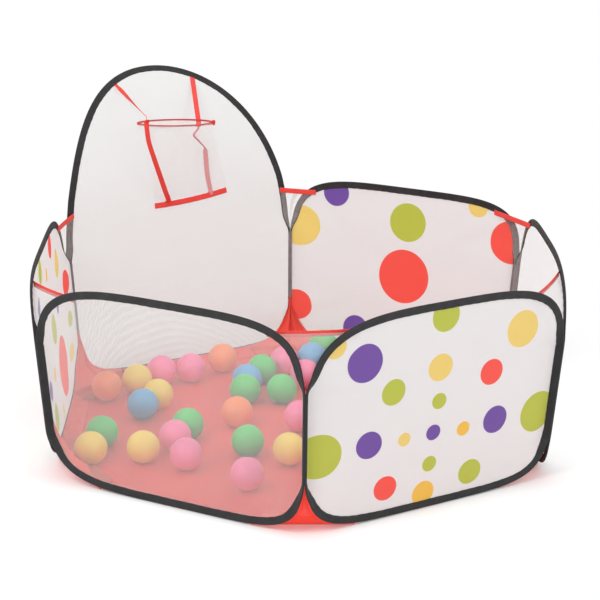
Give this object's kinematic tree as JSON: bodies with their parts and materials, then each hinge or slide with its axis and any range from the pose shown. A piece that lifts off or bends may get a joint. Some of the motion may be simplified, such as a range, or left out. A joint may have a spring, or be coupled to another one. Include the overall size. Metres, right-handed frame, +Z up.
{
  "type": "ball pit",
  "caption": "Six-sided pop-up play pit of wire-framed mesh and dotted cloth walls, one tall with a small hoop and net, holding soft play balls.",
  "frame": {"origin": "middle of the floor sheet's underside, at the middle of the six-sided floor", "axes": "+Z up, -Y towards the front corner, +X to the right of someone who looks in over that corner"},
  "size_m": [0.9286, 1.0719, 0.6028],
  "materials": {
    "black_tape": "matt woven binding tape",
    "spring_steel": "spring wire",
    "white_mesh": "fine open polyester mesh",
    "dotted_cloth": "smooth white polyester with printed dots",
    "red_cloth": "thin red polyester",
    "hoop_red": "red sleeve on a wire ring",
    "ball_orange": "satin soft plastic",
    "ball_yellow": "satin soft plastic",
    "ball_blue": "satin soft plastic",
    "ball_pink": "satin soft plastic",
    "ball_green": "satin soft plastic"
  },
  "bodies": {
    "floor": {"floor_sheet": "red_cloth"},
    "wall_front_right": {"wire_front_right": "spring_steel", "binding_front_right": "black_tape", "cloth_front_right": "dotted_cloth"},
    "wall_right": {"wire_right": "spring_steel", "binding_right": "black_tape", "cloth_right": "white_mesh", "gore_right_front": "white_mesh", "gusset_right_front": "red_cloth"},
    "wall_back_right": {"wire_back_right": "spring_steel", "binding_back_right": "black_tape", "cloth_back_right": "dotted_cloth", "gore_right_back": "white_mesh", "gusset_right_back": "red_cloth", "gore_back": "white_mesh", "gusset_back": "red_cloth"},
    "wall_hoop": {"wire_hoop": "spring_steel", "binding_hoop": "black_tape", "cloth_hoop": "white_mesh", "gore_left_back": "white_mesh", "gusset_left_back": "red_cloth", "hoop_pocket": "white_mesh", "hoop_webbing": "red_cloth"},
    "wall_left": {"wire_left": "spring_steel", "binding_left": "black_tape", "cloth_left": "dotted_cloth", "gore_left_front": "white_mesh", "gusset_left_front": "red_cloth"},
    "wall_front_left": {"wire_front_left": "spring_steel", "binding_front_left": "black_tape", "cloth_front_left": "white_mesh", "gore_front": "white_mesh", "gusset_front": "red_cloth"},
    "hoop_ring": {"hoop_ring": "hoop_red"},
    "ball_01": {"ball_01": "ball_orange"},
    "ball_02": {"ball_02": "ball_yellow"},
    "ball_03": {"ball_03": "ball_yellow"},
    "ball_04": {"ball_04": "ball_blue"},
    "ball_05": {"ball_05": "ball_pink"},
    "ball_06": {"ball_06": "ball_pink"},
    "ball_07": {"ball_07": "ball_orange"},
    "ball_08": {"ball_08": "ball_green"},
    "ball_09": {"ball_09": "ball_blue"},
    "ball_10": {"ball_10": "ball_green"},
    "ball_11": {"ball_11": "ball_green"},
    "ball_12": {"ball_12": "ball_orange"},
    "ball_13": {"ball_13": "ball_green"},
    "ball_14": {"ball_14": "ball_pink"},
    "ball_15": {"ball_15": "ball_pink"},
    "ball_16": {"ball_16": "ball_yellow"},
    "ball_17": {"ball_17": "ball_green"},
    "ball_18": {"ball_18": "ball_yellow"},
    "ball_19": {"ball_19": "ball_green"},
    "ball_20": {"ball_20": "ball_pink"},
    "ball_21": {"ball_21": "ball_yellow"},
    "ball_22": {"ball_22": "ball_pink"},
    "ball_23": {"ball_23": "ball_pink"},
    "ball_24": {"ball_24": "ball_pink"},
    "ball_25": {"ball_25": "ball_blue"},
    "ball_26": {"ball_26": "ball_green"}
  },
  "joints": [
    {"name": "flex_ring", "type": "hinge", "parent": "floor", "child": "wall_front_right", "pos_m": [0, -0.51691, 0.185], "axis": [0, 0, 1], "range_deg": [-3, 3], "deforming": ["gore_front", "gusset_front", "gore_right_front", "gusset_right_front", "gore_right_back", "gusset_right_back", "gore_back", "gusset_back", "gore_left_back", "gusset_left_back", "gore_left_front", "gusset_left_front"]},
    {"name": "flex_seam_front", "type": "hinge", "parent": "wall_front_right", "child": "wall_front_left", "pos_m": [0, -0.51691, 0.185], "axis": [0, 0, 1], "range_deg": [-6, 6], "deforming": ["gore_front", "gusset_front"]},
    {"name": "flex_seam_right_front", "type": "hinge", "parent": "wall_front_right", "child": "wall_right", "pos_m": [0.44766, -0.25845, 0.185], "axis": [0, 0, 1], "range_deg": [-6, 6], "deforming": ["gore_right_front", "gusset_right_front"]},
    {"name": "flex_seam_right_back", "type": "hinge", "parent": "wall_right", "child": "wall_back_right", "pos_m": [0.44766, 0.25845, 0.185], "axis": [0, 0, 1], "range_deg": [-6, 6], "deforming": ["gore_right_back", "gusset_right_back", "gore_back", "gusset_back"]},
    {"name": "flex_seam_left_front", "type": "hinge", "parent": "wall_front_left", "child": "wall_left", "pos_m": [-0.44766, -0.25845, 0.185], "axis": [0, 0, 1], "range_deg": [-6, 6], "deforming": ["gore_left_front", "gusset_left_front"]},
    {"name": "flex_seam_left_back", "type": "hinge", "parent": "wall_left", "child": "wall_hoop", "pos_m": [-0.44766, 0.25845, 0.185], "axis": [0, 0, 1], "range_deg": [-6, 6], "deforming": ["gore_left_back", "gusset_left_back"]},
    {"name": "hoop_swing", "type": "hinge", "parent": "wall_hoop", "child": "hoop_ring", "pos_m": [-0.2696, 0.4249, 0.4945], "axis": [-0.866, -0.5, 0], "range_deg": [0, 88], "deforming": ["hoop_pocket", "hoop_webbing"]},
    {"name": "lift_ball_01", "type": "slide", "parent": "floor", "child": "ball_01", "axis": [0, 0, 1], "range_m": [0, 0.375]},
    {"name": "lift_ball_02", "type": "slide", "parent": "floor", "child": "ball_02", "axis": [0, 0, 1], "range_m": [0, 0.375]},
    {"name": "lift_ball_03", "type": "slide", "parent": "floor", "child": "ball_03", "axis": [0, 0, 1], "range_m": [0, 0.375]},
    {"name": "lift_ball_04", "type": "slide", "parent": "floor", "child": "ball_04", "axis": [0, 0, 1], "range_m": [0, 0.375]},
    {"name": "lift_ball_05", "type": "slide", "parent": "floor", "child": "ball_05", "axis": [0, 0, 1], "range_m": [0, 0.375]},
    {"name": "lift_ball_06", "type": "slide", "parent": "floor", "child": "ball_06", "axis": [0, 0, 1], "range_m": [0, 0.375]},
    {"name": "lift_ball_07", "type": "slide", "parent": "floor", "child": "ball_07", "axis": [0, 0, 1], "range_m": [0, 0.375]},
    {"name": "lift_ball_08", "type": "slide", "parent": "floor", "child": "ball_08", "axis": [0, 0, 1], "range_m": [0, 0.375]},
    {"name": "lift_ball_09", "type": "slide", "parent": "floor", "child": "ball_09", "axis": [0, 0, 1], "range_m": [0, 0.375]},
    {"name": "lift_ball_10", "type": "slide", "parent": "floor", "child": "ball_10", "axis": [0, 0, 1], "range_m": [0, 0.375]},
    {"name": "lift_ball_11", "type": "slide", "parent": "floor", "child": "ball_11", "axis": [0, 0, 1], "range_m": [0, 0.375]},
    {"name": "lift_ball_12", "type": "slide", "parent": "floor", "child": "ball_12", "axis": [0, 0, 1], "range_m": [0, 0.375]},
    {"name": "lift_ball_13", "type": "slide", "parent": "floor", "child": "ball_13", "axis": [0, 0, 1], "range_m": [0, 0.375]},
    {"name": "lift_ball_14", "type": "slide", "parent": "floor", "child": "ball_14", "axis": [0, 0, 1], "range_m": [0, 0.375]},
    {"name": "lift_ball_15", "type": "slide", "parent": "floor", "child": "ball_15", "axis": [0, 0, 1], "range_m": [0, 0.375]},
    {"name": "lift_ball_16", "type": "slide", "parent": "floor", "child": "ball_16", "axis": [0, 0, 1], "range_m": [0, 0.375]},
    {"name": "lift_ball_17", "type": "slide", "parent": "floor", "child": "ball_17", "axis": [0, 0, 1], "range_m": [0, 0.375]},
    {"name": "lift_ball_18", "type": "slide", "parent": "floor", "child": "ball_18", "axis": [0, 0, 1], "range_m": [0, 0.375]},
    {"name": "lift_ball_19", "type": "slide", "parent": "floor", "child": "ball_19", "axis": [0, 0, 1], "range_m": [0, 0.375]},
    {"name": "lift_ball_20", "type": "slide", "parent": "floor", "child": "ball_20", "axis": [0, 0, 1], "range_m": [0, 0.375]},
    {"name": "lift_ball_21", "type": "slide", "parent": "floor", "child": "ball_21", "axis": [0, 0, 1], "range_m": [0, 0.375]},
    {"name": "lift_ball_22", "type": "slide", "parent": "floor", "child": "ball_22", "axis": [0, 0, 1], "range_m": [0, 0.375]},
    {"name": "lift_ball_23", "type": "slide", "parent": "floor", "child": "ball_23", "axis": [0, 0, 1], "range_m": [0, 0.375]},
    {"name": "lift_ball_24", "type": "slide", "parent": "floor", "child": "ball_24", "axis": [0, 0, 1], "range_m": [0, 0.375]},
    {"name": "lift_ball_25", "type": "slide", "parent": "floor", "child": "ball_25", "axis": [0, 0, 1], "range_m": [0, 0.375]},
    {"name": "lift_ball_26", "type": "slide", "parent": "floor", "child": "ball_26", "axis": [0, 0, 1], "range_m": [0, 0.375]}
  ],
  "couplings": [
    {"joint": "flex_seam_front", "follows": "flex_ring", "ratio": -2},
    {"joint": "flex_seam_right_front", "follows": "flex_ring", "ratio": -2},
    {"joint": "flex_seam_right_back", "follows": "flex_ring", "ratio": 2},
    {"joint": "flex_seam_left_front", "follows": "flex_ring", "ratio": 2},
    {"joint": "flex_seam_left_back", "follows": "flex_ring", "ratio": -2}
  ]
}
